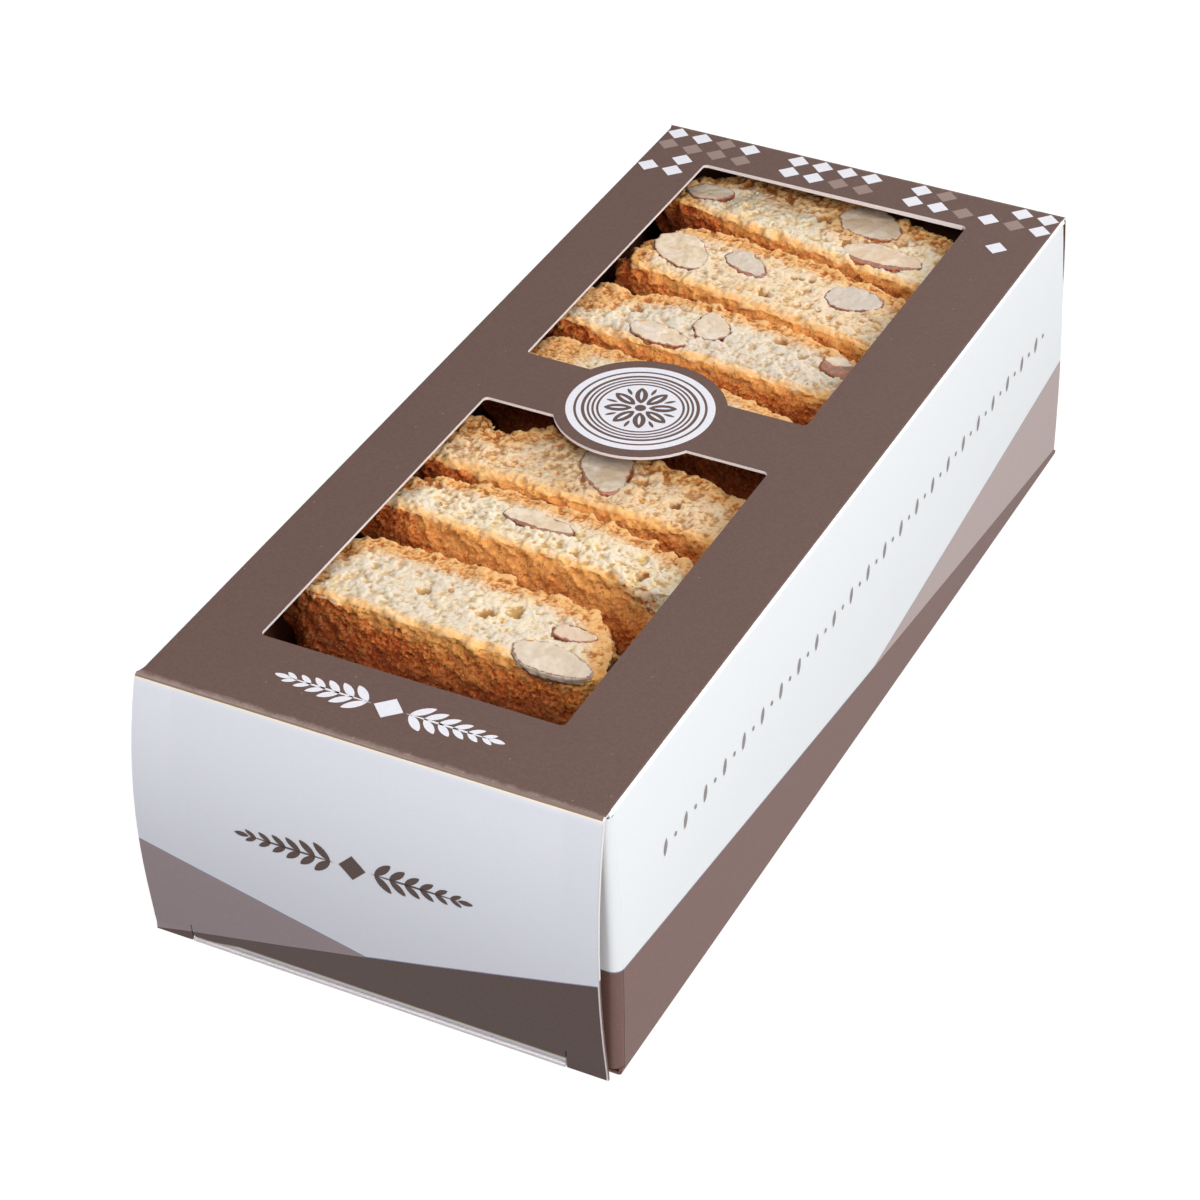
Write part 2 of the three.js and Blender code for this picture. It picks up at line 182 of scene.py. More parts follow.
class Graph:  # a material's nodes, added in the order that they are used
    def __init__(self, name):
        self.material = bpy.data.materials.new(name)
        self.material.use_nodes = True
        self.tree = self.material.node_tree
        self.shader = self.tree.nodes["Principled BSDF"]

    def put(self, kind, inputs=None, **values):
        node = self.tree.nodes.new(kind)
        for key, value in values.items():
            setattr(node, key, value)
        for key, value in (inputs or {}).items():
            self.feed(node.inputs[key], value)
        return node

    def feed(self, socket, value):
        if isinstance(value, bpy.types.NodeSocket):
            self.tree.links.new(value, socket)
        else:
            socket.default_value = value

    def finish(self, **inputs):  # underscores stand for spaces in socket names
        for key, value in inputs.items():
            self.feed(self.shader.inputs[key.replace("_", " ")], value)
        return self.material

    def place(self):
        return self.put("ShaderNodeTexCoord").outputs["Object"]

    def attribute(self, name):
        return self.put("ShaderNodeAttribute", attribute_name=name).outputs["Fac"]

    def noise(self, place, size, detail=3.0, roughness=0.55, distortion=0.0):
        values = {"Vector": place, "Scale": 1 / size, "Detail": detail,
                  "Roughness": roughness, "Distortion": distortion}
        return self.put("ShaderNodeTexNoise", values).outputs["Fac"]

    def cells(self, place, size):  # distance to the nearest of many scattered spots
        inputs = {"Vector": place, "Scale": 1 / size}
        return self.put("ShaderNodeTexVoronoi", inputs).outputs["Distance"]

    def math(self, operation, first, second=0.0):
        inputs = {0: first, 1: second}
        return self.put("ShaderNodeMath", inputs, operation=operation).outputs[0]

    def times(self, value, factor):
        return self.math("MULTIPLY", value, factor)

    def plus(self, *values):
        total = values[0]
        for value in values[1:]:
            total = self.math("ADD", total, value)
        return total

    def centred(self, value, factor):  # a noise that is as often below 0 as above it
        return self.times(self.math("SUBTRACT", value, 0.5), factor)

    def span(self, value, low, high, toLow=0.0, toHigh=1.0):
        inputs = {"Value": value, "From Min": low, "From Max": high,
                  "To Min": toLow, "To Max": toHigh}
        return self.put("ShaderNodeMapRange", inputs, interpolation_type="SMOOTHSTEP").outputs[0]

    def mix(self, share, first, second):
        inputs = {0: share, 6: first, 7: second}  # the sockets for colours
        return self.put("ShaderNodeMix", inputs, data_type="RGBA").outputs[2]

    def ramp(self, value, stops):
        node = self.put("ShaderNodeValToRGB", {"Fac": value})
        elements = node.color_ramp.elements
        while len(elements) < len(stops):
            elements.new(0.5)
        for element, (position, colour) in zip(elements, stops):
            element.position = position
            element.color = colour
        return node.outputs["Color"]

    def bump(self, height, strength, distance):
        inputs = {"Height": height, "Strength": strength, "Distance": distance}
        return self.put("ShaderNodeBump", inputs).outputs["Normal"]


def darker(colour, share):  # a colour with this share of its light left
    return tuple(channel * share for channel in colour[:3]) + (1,)


view = {
    "target": (-0.041 * mm, -18.887 * mm, 28.898 * mm),
    "azimuth": 26.303, "elevation": 36.258, "roll": -0.1811,
    "distance": 689.24 * mm, "lens": 108.855, "sensor": 36, "clip": (0.01, 20),
}
lights = {
    # name: (azimuth, elevation, distance, size, watts, colour)
    "backSoftbox": (158, 36, 0.9, 0.6, 5.2, (1, 0.985, 0.96)),
    "rightSoftbox": (62, 32, 0.9, 0.6, 5.5, (1, 0.99, 0.97)),
    "frontSoftbox": (6, 55, 0.9, 0.6, 3.4, (1, 0.985, 0.96)),
    "leftSoftbox": (272, 2, 0.9, 0.6, 5.2, (1, 0.99, 0.97)),
}
floor = {
    "size": 6, "drop": 0.15 * mm, "colour": tone(110, 110, 110), "roughness": 0.9,
    "glow": 0.9, "world": (1, 0.98, 0.96), "worldStrength": 0.19,
}


def placeAround(name, data, azimuth, elevation, distance, roll=0):  # facing the target
    a, e = math.radians(azimuth), math.radians(elevation)
    back = Vector((math.sin(a) * math.cos(e), -math.cos(a) * math.cos(e), math.sin(e)))
    thing = bpy.data.objects.new(name, data)
    scene.collection.objects.link(thing)
    thing.location = Vector(view["target"]) + back * distance
    thing.rotation_mode = "QUATERNION"
    spin = Quaternion((0, 0, 1), math.radians(roll))
    thing.rotation_quaternion = (-back).to_track_quat("-Z", "Y") @ spin
    return thing


def setCamera():
    data = bpy.data.cameras.new("productCamera")
    data.lens, data.sensor_width = view["lens"], view["sensor"]
    data.clip_start, data.clip_end = view["clip"]
    spot = (view[key] for key in ("azimuth", "elevation", "distance", "roll"))
    scene.camera = placeAround("productCamera", data, *spot)


def setLights():
    for name, (azimuth, elevation, distance, size, watts, colour) in lights.items():
        data = bpy.data.lights.new(name, "AREA")
        data.shape, data.size, data.energy, data.color = "DISK", size, watts, colour
        placeAround(name, data, azimuth, elevation, distance)


def setFloor():
    deselectAll()
    bpy.ops.mesh.primitive_plane_add(size=floor["size"], location=(0, 0, -floor["drop"]))
    plane = bpy.context.object
    plane.name = "studioFloor"
    settle(plane)
    graph = Graph("paleFloor")
    glow = {"Emission_Color": (1, 1, 1, 1), "Emission_Strength": floor["glow"]}
    surface = graph.finish(Base_Color=floor["colour"], Roughness=floor["roughness"], **glow)
    plane.data.materials.append(surface)
    plane.visible_diffuse = False  # seen white, but it doesn't light the box from below
    world = bpy.data.worlds.new("studioWorld")
    world.use_nodes = True
    background = world.node_tree.nodes["Background"]
    background.inputs["Color"].default_value = (*floor["world"], 1)
    background.inputs["Strength"].default_value = floor["worldStrength"]
    scene.world = world


scene.view_settings.view_transform = "Standard"
setCamera()
setLights()
setFloor()
print("camera, lights and floor set")


carton = {
    "brown": tone(98, 77, 72), "brownWarm": tone(107, 85, 79), "brownCool": tone(88, 70, 66),
    "inkLine": tone(84, 78, 138), "rawBoard": tone(240, 233, 236), "kraft": tone(172, 142, 96),
    # inside: a dark warm brown, darker than the bare board, that paints the shade and warm bounce
    # inside the box
    "inside": tone(110, 62, 40), "wornLitBrown": tone(170, 152, 144),
    "stripBoard": tone(226, 226, 234),
    "foldBrown": tone(134, 114, 107), "foldCream": tone(248, 236, 214),
    # a panel's three inks and the edges of its fields: height at the middle, and slope
    "end": {"brown": tone(91, 71, 67), "mauve": tone(165, 148, 154), "white": tone(240, 243, 255),
            "brownEdge": (11.5 * mm, 0.2486), "mauveEdge": (11.03 * mm, -0.2743)},
    # the side's brown and mauve are lighter than the same inks on the top and ends: painted sheen
    # of the glancing light on the side panels
    "side": {"brown": tone(120, 88, 81), "mauve": tone(187, 169, 167),
             "white": tone(243, 247, 252),
             "brownEdge": (12.9 * mm, -0.1005), "mauveEdge": (11.85 * mm, 0.1205)},
    "inkWidth": 0.22 * mm, "kraftWidth": 0.22 * mm,
    # wear and a painted highlight beside the end folds, a lighter band where the rounded folds
    # would
    # shade darker: where they are, how far it reaches in, and its soft edge
    "foldAt": 108.15 * mm, "wearAndLightReach": 2.6 * mm, "wearAndLightEdge": (-1.4 * mm, 0.1 * mm),
    "speckPitch": 5 * mm, "speckSize": (0.03, 0.05),
    # the bare strip at the foot of an end
    "stripTop": 2.1 * mm, "stripStart": -38.3 * mm, "stripEnd": 37.6 * mm, "stripSlope": 0.2,
    "creaseLow": 0.88 * mm, "creaseHigh": 0.6 * mm,  # the cream line, below the top
    "edgeAt": 44.4 * mm, "edgeFlare": 1 * mm,  # an end's bare cut edge, and its flare at the foot
    "farEdge": 95 * mm, "farEdgeDrop": 0.5 * mm,  # the far window's far edge is turned down
    # how far the end panels' top corners are drawn in, and where: beyond this x and z, in this y
    "cornerInset": 0.8 * mm, "cornerX": 44.9 * mm, "cornerZ": 57.1 * mm,
    "cornerY": (105.4 * mm, 107.3 * mm),
}
# what tells the carton's faces apart, in millimetres: distances from the middle, heights from
# the foot, and depths below the top
faceLimits = {
    "endFace": 107.5, "tuckFace": 106.4, "tuckSide": 37.6, "tuckFoot": 0.6,
    "flapFace": 104.9, "flapSide": 14.2, "flapFoot": 1.7, "flapDepth": 1.3,
    "sideFace": 43.9, "sideFoot": 42, "sideRise": 3, "shoulderSide": 40, "shoulderRise": 5,
    "bottom": 0.1, "foldDepth": 1, "sheetDepth": 0.5, "edgeDepth": 0.7,
}


def boardFibres(graph, place):  # faint mottling and a soft paper surface
    mottle = graph.noise(place, 0.6 * mm, 4, 0.6)
    return mottle, graph.bump(mottle, 0.12, 0.05 * mm)


def topPrint():
    graph = Graph("brownTopPrint")
    place = graph.place()
    mottle, bump = boardFibres(graph, place)
    cloud = graph.noise(place, 14 * mm, 2, 0.5)
    axes = graph.put("ShaderNodeSeparateXYZ", {"Vector": place}).outputs
    fromFold = graph.math("SUBTRACT", carton["foldAt"], graph.math("ABSOLUTE", axes["Y"]))
    wearAndLightNoise = graph.noise(place, 2.2 * mm, 5, 0.75)
    reach = graph.plus(fromFold, graph.times(wearAndLightNoise, -carton["wearAndLightReach"]))
    wornAndLit = graph.span(reach, *carton["wearAndLightEdge"], 1, 0)
    colour = graph.mix(graph.span(mottle, 0.3, 0.75), carton["brown"], carton["brownWarm"])
    colour = graph.mix(graph.times(cloud, 0.3), colour, carton["brownCool"])
    # a lighter band along the end folds: partly wear, partly painted highlight
    colour = graph.mix(graph.times(wornAndLit, 0.8), colour, carton["wornLitBrown"])
    speck = graph.span(graph.cells(place, carton["speckPitch"]), *carton["speckSize"], 1, 0)
    colour = graph.mix(graph.times(speck, 0.3), colour, carton["wornLitBrown"])
    return graph.finish(Base_Color=colour, Roughness=0.6, Normal=bump, Specular_IOR_Level=0.22)


def fieldPrint(name, kind, axis, facing):  # white, with two slanting fields
    graph = Graph(name)
    place = graph.place()
    mottle, bump = boardFibres(graph, place)
    axes = graph.put("ShaderNodeSeparateXYZ", {"Vector": place}).outputs
    along = graph.times(axes[axis], facing)
    ink = carton[kind]

    def under(edge, above=0.0):
        level = graph.plus(graph.times(along, edge[1]), edge[0] + above)
        return graph.math("LESS_THAN", axes["Z"], level)

    def speckled(colour, amount):
        return graph.mix(graph.span(mottle, 0.3, 0.75), darker(colour, 1 - amount), colour)

    rims = [under(ink[edge], carton["inkWidth"]) for edge in ("mauveEdge", "brownEdge")]
    inkRim = graph.times(graph.math("MAXIMUM", *rims), 0.75)
    colour = graph.mix(inkRim, speckled(ink["white"], 0.02), carton["inkLine"])
    colour = graph.mix(under(ink["mauveEdge"]), colour, speckled(ink["mauve"], 0.07))
    colour = graph.mix(under(ink["brownEdge"]), colour, speckled(ink["brown"], 0.12))
    if kind == "end":
        colour = endDetails(graph, axes["Z"], along, colour)
    return graph.finish(Base_Color=colour, Roughness=0.5, Normal=bump, Specular_IOR_Level=0.35)


def endDetails(graph, height, along, colour):  # cream crease, strip at the foot, bare cut edge
    for depth, paint in (("creaseLow", "foldCream"), ("creaseHigh", "foldBrown")):
        crease = graph.math("GREATER_THAN", height, topPanel - carton[depth])
        colour = graph.mix(crease, colour, carton[paint])
    rise = graph.math("SUBTRACT", along, carton["stripStart"])
    stripTop = graph.math("MINIMUM", graph.times(rise, carton["stripSlope"]), carton["stripTop"])
    inside = graph.math("LESS_THAN", along, carton["stripEnd"])
    for reach, paint in ((carton["kraftWidth"], carton["kraft"]), (0.0, carton["stripBoard"])):
        strip = graph.math("LESS_THAN", height, graph.plus(stripTop, reach))
        colour = graph.mix(graph.times(strip, inside), colour, paint)
    drop = graph.math("SUBTRACT", 1.0, graph.math("DIVIDE", height, topPanel))
    flare = graph.times(graph.math("POWER", drop, 4.0), carton["edgeFlare"])
    edge = graph.math("GREATER_THAN", along, graph.plus(flare, carton["edgeAt"]))
    return graph.mix(edge, colour, carton["rawBoard"])


def plainBoard(name, colour):
    graph = Graph(name)
    fibres = graph.noise(graph.place(), 0.25 * mm, 4, 0.7)
    mixed = graph.mix(graph.span(fibres, 0.3, 0.7), darker(colour, 0.82), colour)
    bump = graph.bump(fibres, 0.3, 0.05 * mm)
    return graph.finish(Base_Color=mixed, Roughness=0.8, Normal=bump)


def cartonFace(c, n, limit):  # which material a face takes, from its middle and its normal
    x, y = abs(c.x), abs(c.y)
    end, side = "near" if c.y < 0 else "far", "right" if c.x > 0 else "left"
    outward = n.y * c.y > 0
    if y > limit["endFace"] and abs(n.y) > 0.5:
        if not outward:
            return "inside"
        return "raw" if c.z < limit["tuckFoot"] and x < limit["tuckSide"] else end
    if y > limit["endFace"] and n.z > 0.3 and c.z > topPanel - limit["foldDepth"]:
        return "top"
    flap = limit["flapFace"] < y < limit["endFace"] and x > limit["flapSide"]
    if flap and limit["flapFoot"] < c.z < topPanel - limit["flapDepth"]:
        shows = outward and abs(n.y) > 0.1 or n.x * c.x > 0 and abs(n.x) > 0.5
        return side if shows else "inside"
    if x > limit["sideFace"] and n.x * c.x > 0 and abs(n.x) > 0.6:
        return side
    if c.z > topPanel - limit["sheetDepth"] and n.z > 0.3:
        return "top"
    if c.z > topPanel - limit["edgeDepth"] and abs(n.z) < 0.3:
        return "raw"
    if x > limit["sideFoot"] and c.z < limit["sideRise"] and n.z > -0.9:
        return side
    shoulder = x < limit["shoulderSide"] and c.z < limit["shoulderRise"]
    if y > limit["tuckFace"] and abs(n.x) > 0.5 and shoulder:
        return end
    if y > limit["tuckFace"] or n.z < -0.9 and c.z < limit["bottom"]:
        return "raw"
    return "inside"


def pressBoard(piece):  # small changes to the folded board
    nearY, farY = carton["cornerY"]
    for vertex in piece.data.vertices:
        co = vertex.co
        y, head = abs(co.y), topPanel - co.z
        if y > 104 * mm and 0 < head < 0.1 * mm:  # the end folds lie level with the top
            co.z = topPanel
        # the end panels' top corners are drawn in, most at their inner and upper edges
        if abs(co.x) > carton["cornerX"] and co.z > carton["cornerZ"] and nearY < y < farY:
            inner = 1.0 if y < 106 * mm else 0.5
            upper = 1.0 if co.z > 57.5 * mm else 0.3
            co.x -= math.copysign(carton["cornerInset"] * inner * upper, co.x)
        atEdge = abs(co.y - carton["farEdge"]) < 0.15 * mm and abs(co.x) < 32 * mm
        if atEdge and 0.3 * mm < head < 0.8 * mm:
            co.z -= carton["farEdgeDrop"] * (0.6 + 0.4 * co.x / (30 * mm))


def buildCarton():
    piece = copyOfNode("carton", "printedCarton")
    pressBoard(piece)
    materials = {
        # the inside board's colour is painted shade
        "inside": plainBoard("boardInsideShade", carton["inside"]),
        "raw": plainBoard("boardCutEdge", carton["rawBoard"]),
        "top": topPrint(),
        "near": fieldPrint("nearEndPrint", "end", "X", 1.0),
        "far": fieldPrint("farEndPrint", "end", "X", -1.0),
        "right": fieldPrint("rightSidePrint", "side", "Y", 1.0),
        "left": fieldPrint("leftSidePrint", "side", "Y", -1.0),
    }
    for material in materials.values():
        piece.data.materials.append(material)
    slots = list(materials)
    limit = {name: value * mm for name, value in faceLimits.items()}
    for face in piece.data.polygons:
        face.material_index = slots.index(cartonFace(face.center, face.normal, limit))
    smooth(piece, 34)
    applyModifier(piece, "WEIGHTED_NORMAL", keep_sharp=True, weight=80)
    finishPiece(piece, "paperboard", "carton")
    return piece


printedCarton = buildCarton()
print("carton made")


ornament = {
    "white": tone(222, 222, 231), "taupe": tone(146, 127, 120),
    "brown": tone(96, 79, 75), "grey": tone(150, 142, 142),
    "topLift": 0.03 * mm, "layer": 0.03 * mm, "wrapLift": 0.06 * mm,
    "projectFrom": {"x": 60 * mm, "y": 130 * mm},  # beyond the side and end panels
    # from here on in millimetres. Rings are (radius, width), leaves are (length, width)
    "badge": (-2.9, 4.5), "disc": 8.0, "hub": 1.1,
    "rings": [(14.3, 1.5), (12.3, 0.95), (10.7, 0.45), (9.8, 0.45), (8.9, 0.45)],
    "petals": 8, "petalAt": 4.3, "petal": (5.4, 2.5), "vein": (3.2, 0.6),
    "dashAt": 6.0, "dash": (2.4, 0.7),
    "topSprig": (-1.1, -97.8, 20.5, 5.2),  # x, y (z on an end), reach and leaf
    "endSprig": (-1.8, 32.4, 21.5, 4.8), "leafPairs": 6,
    "latticePitch": (5.6, 5.0), "latticeFirst": (-42, 104.6), "latticeCount": (16, 4),
    "lozenge": 2.35, "lozengeTurn": 0.06, "latticeSeed": 11,
    "rowHeight": 37.2, "rowStart": -88, "rowPitch": 4.04, "rowCount": 46, "rowTurn": 72,
    "rowLeaf": (3.4, 1.35), "rowDot": 0.5,
}


def leafOutline(length, width):
    return lambda a: (length / 2 * math.cos(a), width / 2 * math.sin(a) * abs(math.sin(a)) ** 0.5)


def lozengeOutline(half):
    def outline(a):
        reach = half / (abs(math.cos(a)) + abs(math.sin(a)))
        return reach * math.cos(a), reach * math.sin(a)
    return outline


def roundOutline(radius):
    return lambda a: (radius * math.cos(a), radius * math.sin(a))


def flatShape(outline, x, y, turn=0, lift=0.0, corners=16):  # millimetres, on the top panel
    deselectAll()
    level = topPanel + ornament["topLift"] + lift
    bpy.ops.mesh.primitive_circle_add(vertices=corners, radius=1, fill_type="NGON")
    shape = bpy.context.object
    for vertex in shape.data.vertices:
        u, v = outline(math.atan2(vertex.co.y, vertex.co.x))
        vertex.co = (u * mm, v * mm, 0)
    shape.rotation_euler.z = turn
    shape.location = (x * mm, y * mm, level)
    return settle(shape)


def ringShape(outer, width, x, y):
    shape = flatShape(roundOutline(outer), x, y, corners=96)
    editAll(shape)
    bpy.ops.mesh.inset(thickness=width * mm)
    bpy.ops.mesh.delete(type="FACE")
    leaveEdit()
    return shape


def sprig(x, y, reach, leaf):  # a lozenge between two leafy twigs
    shapes = [flatShape(lozengeOutline(0.55 * leaf), x, y)]
    for side in (-1, 1):
        shapes.append(flatShape(leafOutline(0.8 * reach, 0.09 * leaf), x + side * 0.56 * reach, y))
        for i in range(ornament["leafPairs"]):
            start = side * reach * (0.2 + 0.135 * i)
            size = leaf * (0.92 - 0.08 * i)
            outline = leafOutline(size, 0.36 * size)
            for up in (-1, 1):
                turn = up * math.radians(44 - 3 * i)
                dx, dy = side * size * 0.5 * math.cos(turn), size * 0.5 * math.sin(turn)
                angle = turn if side > 0 else math.pi - turn
                shapes.append(flatShape(outline, x + start + dx, y + dy, angle))
        tip = leafOutline(0.6 * leaf, 0.22 * leaf)
        shapes.append(flatShape(tip, x + side * (reach * 1.01), y))
    return shapes


def inkMaterial(name):
    graph = Graph(name + "Ink")
    ink = ornament[name]
    fibres = graph.noise(graph.place(), 0.5 * mm, 4, 0.6)
    colour = graph.mix(graph.span(fibres, 0.3, 0.7), darker(ink, 0.93), ink)
    return graph.finish(Base_Color=colour, Roughness=0.55, Specular_IOR_Level=0.25)


def standUp(piece, turn):  # from the top panel's plane onto an upright panel
    pickUp(piece)
    piece.location.z -= topPanel
    settle(piece)
    for rotation in ((math.pi / 2, 0, 0), (0, 0, turn)):
        piece.rotation_euler = rotation
        settle(piece)
    across = "y" if abs(math.cos(turn)) > 0.5 else "x"
    facing = -math.cos(turn) if across == "y" else math.sin(turn)
    setattr(piece.location, across, facing * ornament["projectFrom"][across])
    settle(piece)
    project = {"use_project_" + across: True, "use_negative_direction": True,
               "use_positive_direction": True}
    applyModifier(piece, "SHRINKWRAP", target=printedCarton, wrap_method="PROJECT",
                  offset=ornament["wrapLift"], **project)


def finishInk(shapes, name, material):
    piece = joinPieces(shapes, name)
    piece.data.materials.append(material)
    finishPiece(piece, "paperboard")


def finishUpright(shapes, name, turn, material):
    piece = joinPieces(shapes, name)
    standUp(piece, turn)
    finishInk([piece], name, material)


def buildBadgePrint(white, brown):
    x, y = ornament["badge"]
    layer = ornament["layer"]
    pale = [ringShape(outer, width, x, y) for outer, width in ornament["rings"]]
    pale.append(flatShape(roundOutline(ornament["disc"]), x, y, corners=72))
    dark = [flatShape(roundOutline(ornament["hub"]), x, y, lift=layer)]

    def around(a, radius):
        return x + radius * math.cos(a), y + radius * math.sin(a)

    for i in range(ornament["petals"]):
        a = 2 * math.pi * (i + 0.5) / ornament["petals"]
        spot = around(a, ornament["petalAt"])
        dark.append(flatShape(leafOutline(*ornament["petal"]), *spot, a, layer))
        pale.append(flatShape(leafOutline(*ornament["vein"]), *spot, a, 2 * layer))
        a += math.pi / ornament["petals"]
        spot = around(a, ornament["dashAt"])
        dark.append(flatShape(leafOutline(*ornament["dash"]), *spot, a, layer))
    finishInk(pale, "badgeWhite", white)
    finishInk(dark, "badgeBrown", brown)


def buildLattice(white, taupe):  # with gaps drawn at random, and deeper at the corners
    draw = random.Random(ornament["latticeSeed"])
    outline = lozengeOutline(ornament["lozenge"])
    kinds = {"white": [], "taupe": []}
    for i in range(ornament["latticeCount"][0]):
        for j in range(ornament["latticeCount"][1]):
            x = ornament["latticeFirst"][0] + ornament["latticePitch"][0] * i
            y = ornament["latticeFirst"][1] - ornament["latticePitch"][1] * j
            rows = 2 if abs(x) < 31 else 3 if abs(x) < 36 else 4
            pick = draw.random()
            if j >= rows or pick > (0.85 if j < 2 else 0.65):
                continue
            kind = "white" if pick < 0.55 else "taupe"
            kinds[kind].append(flatShape(outline, x, y, ornament["lozengeTurn"]))
    finishInk(kinds["white"], "latticeWhite", white)
    finishInk(kinds["taupe"], "latticeTaupe", taupe)


def buildRow(name, turn, material):  # small leaves and dots along a side panel
    shapes = []
    leafShape, dotShape = leafOutline(*ornament["rowLeaf"]), roundOutline(ornament["rowDot"])
    tilt = math.radians(ornament["rowTurn"])
    for i in range(ornament["rowCount"]):
        x = ornament["rowStart"] + ornament["rowPitch"] * i
        outline = leafShape if i % 2 == 0 else dotShape
        shapes.append(flatShape(outline, x, ornament["rowHeight"], tilt, corners=12))
    finishUpright(shapes, name, turn, material)


def buildOrnaments():
    white, taupe, brown, grey = map(inkMaterial, ("white", "taupe", "brown", "grey"))
    buildBadgePrint(white, brown)
    buildLattice(white, taupe)
    finishInk(sprig(*ornament["topSprig"]), "topSprig", white)
    for name, turn in (("nearSprig", 0), ("farSprig", math.pi)):
        finishUpright(sprig(*ornament["endSprig"]), name, turn, brown)
    buildRow("rightRow", math.pi / 2, grey)
    buildRow("leftRow", -math.pi / 2, grey)


buildOrnaments()
print("ornaments made")


biscuit = {
    "voxel": 0.29 * mm, "lowVoxel": 0.75 * mm,
    # the crumb's hollow colours are painted shade
    "crumbLight": tone(228, 215, 194), "crumbMid": tone(221, 202, 168),
    "crumbHollowShade": tone(201, 164, 112), "crumbWhite": tone(214, 203, 190),
    "crumbHollowShadeGrey": tone(198, 172, 134), "butter": tone(236, 202, 136),
    "toast": tone(203, 147, 90), "pitShadeOchre": tone(160, 108, 44),
    "baseLight": tone(246, 170, 92), "baseMid": tone(223, 121, 54), "baseDark": tone(178, 75, 27),
    "baseLow": tone(122, 42, 11), "baseLip": tone(246, 186, 108),
    "domeLight": tone(226, 180, 122), "domeMid": tone(209, 145, 82),
    "domeDark": tone(172, 102, 50), "orange": tone(222, 146, 66),
    "pore": tone(92, 42, 18), "sugar": tone(255, 236, 200),
    # relief as (size, strength), and what each part of a slice takes of it:
    # (texture, share, middle, group)
    "swell": (5.2 * mm, 0.9 * mm), "cluster": (2.6 * mm, 1.0 * mm), "lump": (1.3 * mm, 0.85 * mm),
    "grain": (0.62 * mm, 0.5 * mm), "crack": (6.5 * mm, 0.55 * mm), "hole": (2.8 * mm, 1.0 * mm),
    "reliefs": [
        ("cluster", 1.0, 0.5, "rimZone"), ("swell", 0.8, 0.5, "crumbFace"),
        ("cluster", 1.6, 0.5, "crumbLumps"), ("lump", -1.7, 0.42, "crumbLumps"),
        ("hole", -0.8, 0, "crumbFace"), ("swell", 0.8, 0.5, "crustFace"),
        ("cluster", 0.8, 0.5, "crustFace"), ("lump", -0.8, 0.42, "crustFace"),
        ("hole", -1.0, 0, "crustFace"), ("crack", 1.0, 0.4, "crustFace"),
    ],
    "lowReliefs": [("swell", 0.8, 0.6), ("cluster", 0.8, 0.6), ("lump", -1.2, 0.42)],
    "rounds": (3, 26), "lowRounds": (2, 10),  # smoothing behind the fine and broad marks
    "holeShare": 0.2, "roundings": 40,
    "pitDepth": 3,  # in mm, where a pit's mark is 1
    "endBulge": 3 * mm,  # how far a left end bulges out below its top
    "faceDepth": 4.5 * mm, "rimDepth": 3.2 * mm,  # how far below the top a cut face and its rim lie
    "nutGap": 0.9 * mm,  # nothing counts as rim closer than this to an almond
    "clear": 9.0,  # in mm: so far from a crust that it no longer colours the crumb
}
# what is special on each slice. lumpy: how rough the crumb is. toast: how tan it is all over, and
# below 0 how white. bake: how quickly the base crust darkens towards its foot, partly browning
# and partly painted shade: set higher on crusts that lie in shade, lower on lit ones.
# dome: how much further, in mm, the domed crust tints the crumb.
# pits: (x, y, radius, depth). spots: tan areas as (x, y, radius, amount). brokenFrom: the x
# from which the lip of the base crust has broken away.
sliceDetails = {
    1: {"lumpy": 0.8, "toast": -0.2, "dome": 1.6, "bakeAndShade": 0.9,
        "spots": [(20, -57, 5, 0.3), (0, -57, 5, 0.2), (-36, -50, 7, 1.0), (-36, -64, 4, 0.8),
                  (22, -52, 5, 0.6)],
        "pits": [(-15.6, -59.2, 1.2, 1.3), (-2.1, -59.8, 1.4, 1.7), (2.4, -57.3, 1.5, 1.2),
                 (-27, -56.6, 0.9, 0.8)]},
    2: {"lumpy": 1.1, "toast": 0.05, "dome": 0.6, "bakeAndShade": 0.4, "brokenFrom": 14,
        "spots": [(-37, -28, 7, 0.8), (5, -28, 5, 0.3), (20, -46, 5, 0.9)],
        "pits": [(12.5, -40.8, 1.6, 2.2), (3.5, -36.5, 1.0, 1.2), (18, -38, 1.2, 1.4)]},
    3: {"lumpy": 1.2, "toast": 0.5, "dome": 1.4, "bakeAndShade": 0.9,
        "spots": [(-36, -9, 8, 1.0), (-23, -2, 9, 0.6), (21, -6, 9, 0.6)],
        "pits": [(13.6, -14.2, 1.5, 2.2), (-29.5, -7, 1.0, 1.6), (5, -10, 1.2, 1.3)]},
    4: {"lumpy": 0.5, "toast": 0.15, "dome": 1.0, "bakeAndShade": 1.6,
        "spots": [(-31, 24, 9, 0.9)], "pits": [(-21, 20, 1.1, 1.0)]},
    5: {"lumpy": 1.0, "toast": -0.3, "dome": 0.8, "bakeAndShade": 0.9,
        "spots": [(-33, 47, 9, 1.0), (-5, 52, 7, 0.4)],
        "pits": [(-23, 44.5, 1.6, 1.4), (8, 46, 1.3, 1.3), (14, 43, 1.1, 1.1)]},
    6: {"lumpy": 0.95, "toast": 0.38, "dome": 1.2, "bakeAndShade": 0.9,
        "spots": [(22, 66, 8, 0.5), (-31, 76, 7, 0.8)],
        "pits": [(1.1, 69.2, 1.2, 2.2), (4.2, 70, 0.8, 1.8), (-2.0, 60.9, 1.6, 2.0),
                 (11, 68.5, 1.2, 1.2)]},
    7: {"lumpy": 1.3, "toast": 0.05, "dome": 2.4, "bakeAndShade": 0.9,
        "spots": [(6, 99, 14, 0.9), (-12, 101, 10, 0.7), (-34, 90, 5, 0.8)],
        "pits": [(-3, 94, 1.8, 1.6), (5, 86, 1.4, 1.5), (-13, 98, 1.6, 1.4), (3, 97, 2.0, 1.6)]},
}


